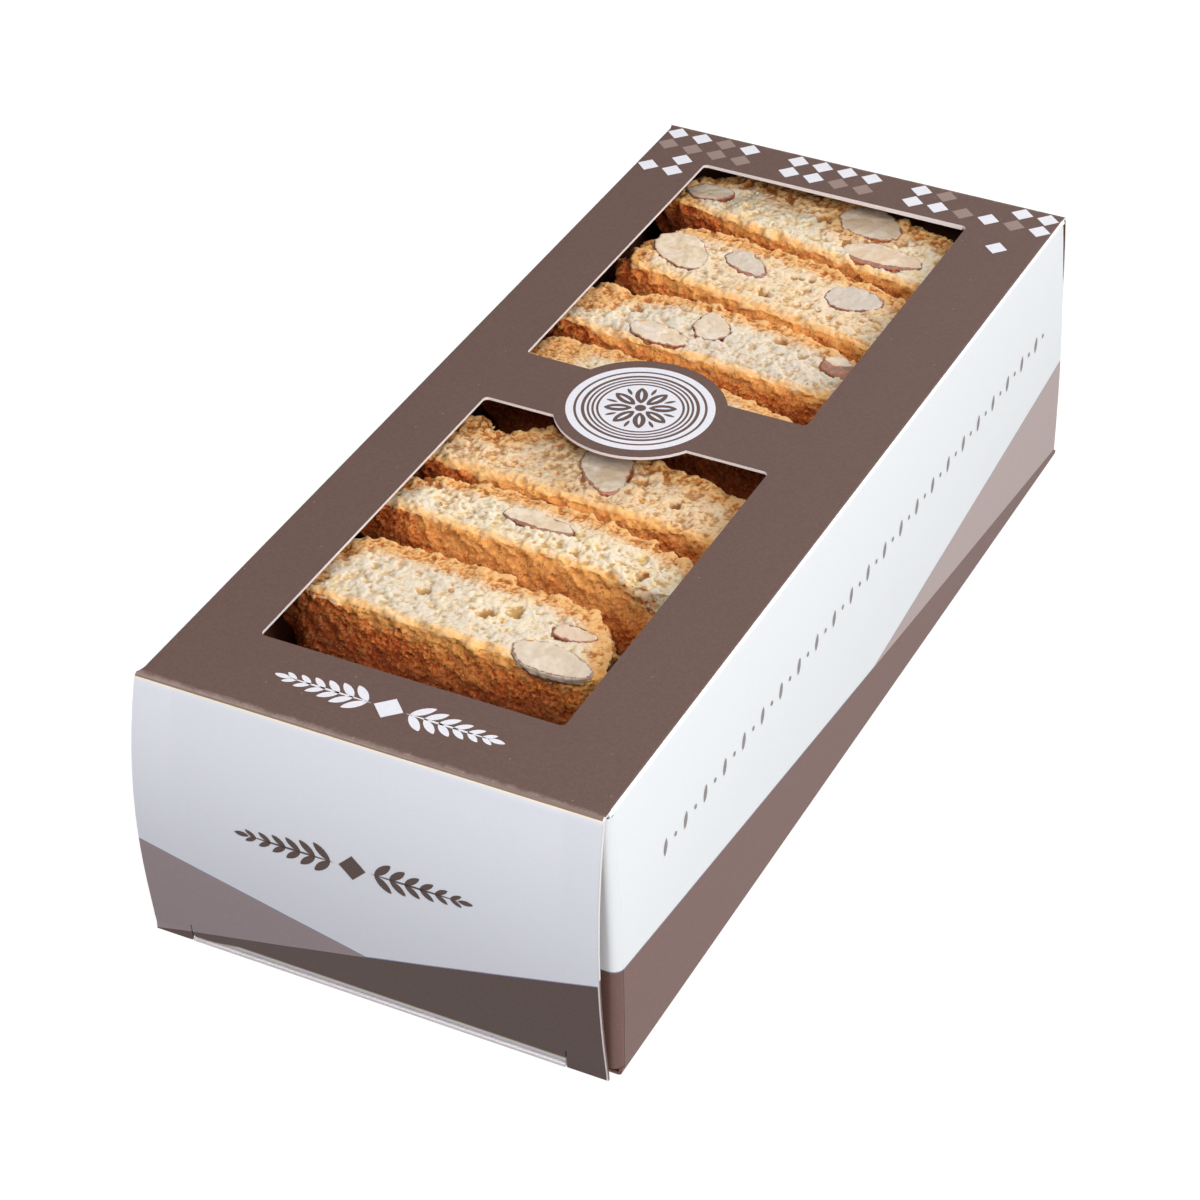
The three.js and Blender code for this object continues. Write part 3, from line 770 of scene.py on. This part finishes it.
def legacyTexture(name, kind, size, **values):
    texture = bpy.data.textures.new(name, kind)
    texture.noise_scale = size
    for key, value in values.items():
        setattr(texture, key, value)
    return texture


def cloudTexture(kind, **values):
    return legacyTexture(kind, "CLOUDS", biscuit[kind][0], noise_depth=1, **values)


crumbTextures = {
    "swell": cloudTexture("swell"), "cluster": cloudTexture("cluster"),
    "lump": cloudTexture("lump", noise_basis="VORONOI_F1"),
    "grain": cloudTexture("grain", noise_basis="VORONOI_F1"),
    "crack": legacyTexture("crack", "VORONOI", biscuit["crack"][0],
                           distance_metric="DISTANCE", weight_1=-1.0, weight_2=1.0),
    "hole": legacyTexture("hole", "VORONOI", biscuit["hole"][0], use_color_ramp=True),
}
holeStops = crumbTextures["hole"].color_ramp.elements
holeStops[0].color, holeStops[1].color = (1, 1, 1, 1), (0, 0, 0, 1)
holeStops[1].position = biscuit["holeShare"]


def displace(piece, kind, share, middle, group=""):
    applyModifier(piece, "DISPLACE", texture=crumbTextures[kind], texture_coords="LOCAL",
                  strength=share * biscuit[kind][1], mid_level=middle, vertex_group=group)


def longAxis(node):  # a slice's horizontal long axis, towards +X
    co = np.array([v.co for v in nodes[node].data.vertices])[:, :2]
    along = np.linalg.eigh(np.cov((co - co.mean(0)).T))[1][:, -1]
    return along if along[0] > 0 else -along


def nearest(co, chosen, sources):  # distance from each chosen point to the closest source point
    tree = KDTree(len(sources))
    for i, spot in enumerate(sources):
        tree.insert(spot, i)
    tree.balance()
    return np.array([tree.find(co[i])[2] for i in chosen])


def relief(piece, co, no, rounds):  # how far a point stands out of its surroundings
    edges = np.empty(len(piece.data.edges) * 2, np.int32)
    piece.data.edges.foreach_get("vertices", edges)
    edges = edges.reshape(-1, 2)
    count = np.bincount(edges.ravel(), minlength=len(co))[:, None]
    around = co.copy()
    for _ in range(rounds):
        total = np.zeros_like(co)
        for axis in range(3):
            total[:, axis] = (np.bincount(edges[:, 0], around[edges[:, 1], axis], len(co))
                              + np.bincount(edges[:, 1], around[edges[:, 0], axis], len(co)))
        around = total / count
    return ((co - around) * no).sum(1)


def softNoise(co, size, seed):  # 0 to 1, one value a point
    shift = Vector((seed * 3.7, seed * 1.9, seed * 5.3))
    return np.array([noise.noise(Vector(spot) / size + shift) for spot in co]) * 0.5 + 0.5


def nutDistance(co, number):  # how far each point is from the slice's almonds
    spots, faces = [], []
    for name in nodesFrom(f"almond_{number}_"):
        mesh = nodes[name].data
        faces += [[len(spots) + i for i in face.vertices] for face in mesh.polygons]
        spots += [vertex.co.copy() for vertex in mesh.vertices]
    if not spots:
        return np.full(len(co), 1.0)
    tree = BVHTree.FromPolygons(spots, faces)
    return np.array([tree.find_nearest(Vector(spot))[3] for spot in co])


def markSlice(piece, node, detail, seed):  # what the shaping and the biscuit material read
    co, no = points(piece), normals(piece)
    xy = co[:, :2] / mm
    along = longAxis(node)
    across = np.array((-along[1], along[0]))
    top = co[:, 2].max()
    below = (top - co[:, 2]) / mm
    up = no[:, 2]
    front = no[:, :2] @ across
    crumb = fade(np.abs(up), 0.45, 0.8)
    base = fade(-front, 0.1, 0.5)

    def away(x, y):  # how far each point is from an upright line
        return np.hypot(xy[:, 0] - x, xy[:, 1] - y)

    # distances on the cut face from the rims of both crusts
    faceTop = (up > 0.55) & (co[:, 2] > top - biscuit["faceDepth"])
    rimBand = (np.abs(up) < 0.55) & (co[:, 2] > top - biscuit["rimDepth"])
    band = np.nonzero(rimBand)[0]
    rimBand[band] = nutDistance(co[band], seed) > biscuit["nutGap"]
    rimBase, rimDome = np.full((2, len(co)), biscuit["clear"])
    chosen = np.nonzero(faceTop)[0]
    baseRim, domeRim = co[rimBand & (front < -0.35)], co[rimBand & (front >= -0.35)]
    rimBase[chosen] = nearest(co, chosen, baseRim[::3]) / mm
    rimDome[chosen] = nearest(co, chosen, domeRim[::3]) / mm - detail["dome"]
    # pits, tan spots and how lumpy each place is
    pits = np.zeros(len(co))
    wobble = 1.4 * (softNoise(co, 1.1 * mm, seed + 9) - 0.5)
    for x, y, radius, depth in detail["pits"]:
        d = away(x, y) / (radius * (1 + wobble))
        bowl = depth / biscuit["pitDepth"] * np.sqrt(np.clip(1 - d * d, 0, 1))
        pits = np.maximum(pits, np.where(faceTop, bowl, 0))
    toast = np.full(len(co), float(detail["toast"]))
    for x, y, radius, amount in detail["spots"]:
        tint = amount * fade(-away(x, y) / radius, -1.3, -0.4)
        toast = np.where(tint > 0, np.maximum(toast, tint), toast)
    lumpy = detail["lumpy"] * (0.35 + 0.9 * fade(softNoise(co, 4.5 * mm, seed), 0.3, 0.7))
    # the crumb hangs over the base crust in places, and its lip may have broken away
    ragged = 4.5 * (softNoise(co, 3.0 * mm, seed + 20) - 0.38)
    overhang = np.where(front < -0.2, fade(ragged - below, -0.3, 0.4), 0)
    crumb = np.maximum(crumb, overhang)
    rimBase = np.where(overhang > 0, 1.1, rimBase)
    if "brokenFrom" in detail:
        past = xy[:, 0] - detail["brokenFrom"] + 7 * (softNoise(co, 2.5 * mm, seed + 30) - 0.5)
        reach = np.clip(past * 0.9, 0, 7.5) + 5 * (softNoise(co, 1.6 * mm, seed + 31) - 0.5)
        broken = (front < -0.2) & (past > 0)
        crumb = np.maximum(crumb, np.where(broken, fade(reach - below, -0.6, 0.6), 0))
        toast = np.maximum(toast, np.where(broken, fade(below - reach, -6.0, -1.0), 0))
        rimBase = np.where(past > 0, biscuit["clear"], rimBase)
    near = np.zeros(len(co))
    near[chosen] = fade(-np.minimum(rimBase, rimDome + detail["dome"])[chosen], -2.8, -1.4)
    near[band] = rimBand[band]
    # the base crust darkens downwards and to the left: partly browning, partly painted shade, most
    # at the left ends that lie in shade under the panel. It also runs around the left end
    depth = below * detail["bakeAndShade"] + 5 * fade(-xy[:, 0], 20, 36)
    leftEnd = fade(-no[:, :2] @ along, 0.1, 0.7) * fade(below, 0.6, 3.0) * fade(-below, -13, -9)
    base = np.maximum(base, fade(leftEnd, 0.1, 0.5))
    return {"crumb": crumb, "base": base, "rimBase": rimBase, "rimDome": rimDome, "depth": depth,
            "pits": pits, "toast": toast, "lumpy": lumpy, "near": near, "leftEnd": leftEnd}


def shapeSlice(piece, marks):
    groups = {"crumbLumps": marks["crumb"] * marks["lumpy"] / 1.4, "crumbFace": marks["crumb"],
              "crustFace": 1 - marks["crumb"], "pitFace": marks["pits"],
              "rimZone": marks["near"], "leftEnd": marks["leftEnd"]}
    for name, values in groups.items():
        writeGroup(piece, name, values)
    applyModifier(piece, "DISPLACE", direction="X", strength=-biscuit["endBulge"], mid_level=0,
                  vertex_group="leftEnd")
    applyModifier(piece, "SMOOTH", factor=0.5, iterations=biscuit["roundings"],
                  vertex_group="rimZone")
    applyModifier(piece, "DISPLACE", direction="Z", strength=-biscuit["pitDepth"] * mm,
                  mid_level=0, vertex_group="pitFace")
    for kind, share, middle, group in biscuit["reliefs"]:
        displace(piece, kind, share, middle, group)
    applyModifier(piece, "SMOOTH", factor=0.5, iterations=2)
    displace(piece, "grain", -1.3, 0.45)
    piece.vertex_groups.clear()


def writeRelief(piece, rounds):
    co, no = points(piece), normals(piece)
    for name, count in zip(("fine", "broad"), rounds):
        writeAttribute(piece, name, relief(piece, co, no, count) / mm)


def buildSlice(number, material):
    node = f"biscotto_{number}"
    piece = voxelCopy(node, f"almondBiscuit{number}", biscuit["voxel"])
    marks = markSlice(piece, node, sliceDetails[number], number)
    shapeSlice(piece, marks)
    for name in ("crumb", "base", "rimBase", "rimDome", "depth", "pits", "toast"):
        writeAttribute(piece, name, marks[name])
    writeRelief(piece, biscuit["rounds"])
    finishBaked(piece, "biscuit", material, node)
    return piece


def biscuitMaterial():
    graph = Graph("almondBiscuitBake")
    place = graph.place()
    names = ("fine", "broad", "toast", "pits", "rimDome", "rimBase", "depth", "base", "crumb")
    marks = {name: graph.attribute(name) for name in names}
    grain = graph.noise(place, 0.3 * mm, 3, 0.65)
    mottle = graph.noise(place, 1.1 * mm, 4, 0.65)
    patch = graph.noise(place, 3.0 * mm, 3, 0.55)
    wide = graph.noise(place, 11 * mm, 2, 0.5)

    def shades(value, *stops):
        return graph.ramp(value, [(position, biscuit[name]) for position, name in stops])

    def uneven(name, patchy, mottled):  # a mark with a wandering edge
        return graph.plus(marks[name], graph.centred(patch, patchy), graph.centred(mottle, mottled))

    # crumb: pale lumps, with painted shade in the hollows between: darker and warmer where the
    # relief is low
    height = graph.plus(graph.times(marks["fine"], 1.7), graph.times(marks["broad"], 1.3),
                        graph.centred(grain, 0.6))
    level = graph.span(height, -0.65, 0.35)
    crumb = shades(level, (0.0, "crumbHollowShade"), (0.35, "crumbMid"), (0.8, "crumbLight"))
    buttery = graph.times(graph.span(patch, 0.5, 0.7), 0.5)
    crumb = graph.mix(buttery, crumb, biscuit["butter"])
    whitened = shades(level, (0.0, "crumbHollowShadeGrey"), (0.8, "crumbWhite"))
    crumb = graph.mix(graph.span(marks["toast"], -0.4, 0.0, 1, 0), crumb, whitened)
    # the toasted tint is darker in the hollows too: painted shade
    toasted = shades(level, (0.1, "domeDark"), (0.5, "toast"), (0.95, "domeLight"))
    crumb = graph.mix(graph.span(uneven("toast", 0.5, 0.5), 0.1, 0.9), crumb, toasted)
    # pits are painted a darker ochre: painted shade in the hollows
    pit = graph.span(graph.plus(marks["pits"], graph.times(grain, 0.1)), 0.2, 0.6)
    crumb = graph.mix(graph.times(pit, 0.75), crumb, biscuit["pitShadeOchre"])
    # both crusts colour the crumb next to them
    domeNear = graph.span(uneven("rimDome", 4.0, 3.0), 1.4, 5.0, 1, 0)
    baseNear = graph.span(uneven("rimBase", 3.0, 2.5), 0.3, 3.2, 1, 0)
    # the dome's tint is darker in the hollows too: painted shade
    domeTint = shades(level, (0.1, "domeDark"), (0.55, "domeMid"), (1.0, "domeLight"))
    domeTint = graph.mix(graph.span(mottle, 0.55, 0.66, 0, 0.6), domeTint, biscuit["orange"])
    crumb = graph.mix(domeNear, crumb, domeTint)
    crumb = graph.mix(graph.times(baseNear, 0.85), crumb, biscuit["baseLip"])
    # crusts: the base is redder, darker towards its foot and golden at its lip; the darkening
    # towards the foot and the reach of the golden lip are partly painted shade and light
    # crust tone: mottled, and darker in its hollows from the fine relief, which is painted shade
    level = graph.plus(mottle, graph.centred(wide, 0.5), graph.times(marks["fine"], 1.2))
    base = shades(level, (0.28, "baseDark"), (0.48, "baseMid"), (0.7, "baseLight"))
    lower = graph.span(graph.plus(marks["depth"], graph.centred(patch, 5.0)), 3.0, 12.0)
    base = graph.mix(graph.times(lower, 0.75), base, biscuit["baseLow"])
    lip = graph.span(uneven("depth", 6.0, 3.0), 0.8, 5.5, 1, 0)
    base = graph.mix(graph.times(lip, 0.75), base, biscuit["baseLip"])
    dome = shades(level, (0.25, "domeDark"), (0.48, "domeMid"), (0.7, "domeLight"))
    crust = graph.mix(marks["base"], dome, base)
    pore = graph.plus(graph.cells(place, 0.75 * mm), graph.centred(patch, 0.8))
    pore = graph.times(graph.span(pore, 0.14, 0.26, 1, 0), 0.5)
    crust = graph.mix(pore, crust, biscuit["pore"])
    edge = graph.span(graph.plus(marks["crumb"], graph.centred(mottle, 1.3)), 0.35, 0.7)
    colour = graph.mix(edge, crust, crumb)
    # grains of sugar, in patches
    sugar = graph.cells(place, 0.5 * mm)
    sparkle = graph.times(graph.span(sugar, 0.1, 0.18, 1, 0), graph.span(patch, 0.42, 0.55))
    colour = graph.mix(graph.times(sparkle, 0.6), colour, biscuit["sugar"])
    return graph.finish(
        Base_Color=colour, Roughness=graph.span(sparkle, 0, 1, 0.85, 0.3),
        Normal=graph.bump(graph.plus(grain, graph.times(sugar, -0.4)), 0.5, 0.3 * mm),
        Subsurface_Weight=0.4, Subsurface_Scale=mm, Subsurface_Radius=(1.0, 0.6, 0.3),
        Specular_IOR_Level=0.3)


bakeAndShade = biscuitMaterial()
topSlices = [buildSlice(number, bakeAndShade) for number in sliceDetails]
print("visible slices made:", sum(len(piece.data.polygons) for piece in topSlices), "faces")


def buildLowSlices(material):
    for node in nodesFrom("biscotto_low_"):
        tail = node.removeprefix("biscotto_low_").replace("_", "row")
        piece = voxelCopy(node, "lowBiscuit" + tail, biscuit["lowVoxel"])
        for kind, share, middle in biscuit["lowReliefs"]:
            displace(piece, kind, share, middle)
        co, no = points(piece), normals(piece)
        flat = np.zeros(len(no))
        marks = {"crumb": fade(np.abs(no[:, 2]), 0.45, 0.8), "base": fade(-no[:, 1], 0.1, 0.5),
                 "rimBase": flat + biscuit["clear"], "rimDome": flat + biscuit["clear"],
                 "depth": (co[:, 2].max() - co[:, 2]) / mm, "pits": flat, "toast": flat + 0.2}
        for name, values in marks.items():
            writeAttribute(piece, name, values)
        writeRelief(piece, biscuit["lowRounds"])
        finishBaked(piece, "biscuit", material, node)


buildLowSlices(bakeAndShade)
print("lower layers made")


almond = {
    "voxel": 0.2 * mm, "grow": 0.2 * mm, "sink": 0.56 * mm,
    "flesh": tone(233, 218, 198), "fleshDeep": tone(214, 192, 164),
    "fleshCool": tone(224, 214, 207), "skin": tone(126, 66, 50), "skinRed": tone(176, 98, 68),
    "pale": tone(200, 190, 181), "tan": tone(208, 176, 152),
    "skinLine": (0.32, 0.52),  # the soft edge of the line of skin around a face, in mm
    "faceDepth": 1.6 * mm, "rimDepth": 1.5 * mm,  # how far below its top a cut face and its rim lie
    # a nut's tone and painted shade, from -1 (cool, grey and darker) to 1 (tan, also darker); 0 is
    # the brightest, and single nuts are set darker or lighter to paint the light and shade that
    # falls on them
    "warmthAndShade": {"almond_1_1": 0.5, "almond_1_2": -0.4, "almond_5_2": -0.3, "almond_6_2": -0.6,
               "almond_6_3": -0.7, "almond_7_1": 0.3, "almond_7_2": 0.3},
    "chunky": {"almond_1_2": 1.7},  # how far down its side the flesh shows, in mm
    # red skin left on the face: how deep from the rim, and how far it starts below the middle
    "skinned": {"almond_2_1": (0.9, 0.1), "almond_7_2": (1.2, 0.1), "almond_5_3": (3.0, -0.25),
                "almond_6_2": (0.8, 0.1), "almond_3_1": (0.4, 0.1)},
}
almondTexture = legacyTexture("almondChips", "CLOUDS", 1.6 * mm, noise_depth=2)
almondReliefs = (  # an uneven outline and surface: direction, texture, strength
    ("X", crumbTextures["cluster"], 1.5 * mm),
    ("Y", almondTexture, 0.9 * mm),
    ("NORMAL", almondTexture, 0.4 * mm),
)


def almondMaterial():
    graph = Graph("slicedAlmond")
    place = graph.place()
    warmthAndShade, fromRim, side = (graph.attribute(name) for name in ("warmthAndShade", "fromRim", "side"))
    patch = graph.noise(place, 1.1 * mm, 4, 0.65)
    veins = graph.noise(place, 4 * mm, 3, 0.6, 0.8)
    blotch = graph.noise(place, 6 * mm, 2, 0.5)
    flesh = graph.mix(graph.span(veins, 0.35, 0.7), almond["fleshDeep"], almond["flesh"])
    cool = graph.times(graph.span(blotch, 0.5, 0.65), 0.4)
    flesh = graph.mix(cool, flesh, almond["fleshCool"])
    # the warm and cool ends are both darker than the bare flesh: painted shade on single nuts
    flesh = graph.mix(graph.span(warmthAndShade, 0, 1), flesh, almond["tan"])
    flesh = graph.mix(graph.span(warmthAndShade, -1, 0, 1, 0), flesh, almond["pale"])
    skin = graph.mix(graph.span(patch, 0.45, 0.6), almond["skin"], almond["skinRed"])
    line = graph.plus(fromRim, graph.centred(patch, 0.9))
    line = graph.times(graph.span(line, *almond["skinLine"], 1, 0), 0.8)
    colour = graph.mix(side, graph.mix(line, flesh, skin), skin)
    return graph.finish(
        Base_Color=colour, Roughness=0.4, Normal=graph.bump(patch, 0.3, 0.12 * mm),
        Subsurface_Weight=0.2, Subsurface_Scale=mm, Subsurface_Radius=(1.0, 0.8, 0.5),
        Specular_IOR_Level=0.4)


def buildAlmond(node, material):
    tail = node.removeprefix("almond_").replace("_", "nut")
    piece = voxelCopy(node, "almond" + tail, almond["voxel"])
    applyModifier(piece, "DISPLACE", direction="NORMAL", strength=almond["grow"], mid_level=0)
    for direction, texture, strength in almondReliefs:
        applyModifier(piece, "DISPLACE", direction=direction, texture=texture,
                      texture_coords="LOCAL", strength=strength, mid_level=0.5)
    piece.location.z -= almond["sink"]
    settle(piece)
    co, no = points(piece), normals(piece)
    up, top = no[:, 2], co[:, 2].max()
    below = (top - co[:, 2]) / mm
    chosen = np.nonzero((up > 0.4) & (co[:, 2] > top - almond["faceDepth"]))[0]
    sides = np.nonzero((up < 0.3) & (co[:, 2] > top - almond["rimDepth"]))[0]
    rim = np.zeros(len(co))
    rim[chosen] = nearest(co, chosen, co[sides]) / mm
    side = fade(-up, -0.55, -0.2)
    if node in almond["chunky"]:
        reach = almond["chunky"][node] + 1.2 * (softNoise(co, 1.5 * mm, 3) - 0.5)
        rim = np.where(side > 0.3, 1.0, rim)
        side = side * fade(below - reach, -0.2, 0.2)
    if node in almond["skinned"]:
        depth, start = almond["skinned"][node]
        low = fade((co[:, 1].mean() - co[:, 1]) / np.ptp(co[:, 1]), start, start + 0.3)
        rim -= depth * low * softNoise(co, 2.2 * mm, 8) * 1.4
    writeAttribute(piece, "fromRim", rim)
    writeAttribute(piece, "warmthAndShade", np.full(len(co), almond["warmthAndShade"].get(node, 0.0)))
    writeAttribute(piece, "side", side)
    finishBaked(piece, "almond", material, node)


nutMaterial = almondMaterial()
for node in nodesFrom("almond_"):
    buildAlmond(node, nutMaterial)
print("almonds made")


crumbs = {"count": 110, "small": 0.2 * mm, "large": 0.62 * mm, "rimDepth": 3 * mm, "seed": 5}


def buildCrumbs(material):  # small crumbs that lie on the slices' rims, sunk a little
    draw = random.Random(crumbs["seed"])
    pieces = []
    for piece in topSlices:
        co, no = points(piece), normals(piece)
        top = co[:, 2].max()
        spots = np.nonzero((no[:, 2] > 0.35) & (co[:, 2] > top - crumbs["rimDepth"]))[0]
        for _ in range(crumbs["count"] // len(topSlices)):
            spot = co[spots[draw.randrange(len(spots))]]
            radius = crumbs["small"] + (crumbs["large"] - crumbs["small"]) * draw.random() ** 2.5
            deselectAll()
            bpy.ops.mesh.primitive_ico_sphere_add(subdivisions=2, radius=radius,
                                                  location=tuple(spot))
            crumb = bpy.context.object
            crumb.scale = (1, 0.7 + 0.5 * draw.random(), 0.6 + 0.3 * draw.random())
            crumb.rotation_euler = (draw.random(), draw.random(), 6.28 * draw.random())
            settle(crumb)
            inner = round(draw.random())  # 1 is crumb, 0 is crust
            writeAttribute(crumb, "crumb", np.full(len(crumb.data.vertices), inner))
            pieces.append(crumb)
    joined = joinPieces(pieces, "looseCrumbs")
    displace(joined, "grain", -0.6, 0.4)
    for name in ("rimBase", "rimDome"):
        writeAttribute(joined, name, np.full(len(joined.data.vertices), biscuit["clear"]))
    finishBaked(joined, "biscuit", material, angle=60)


buildCrumbs(bakeAndShade)
print("loose crumbs made")
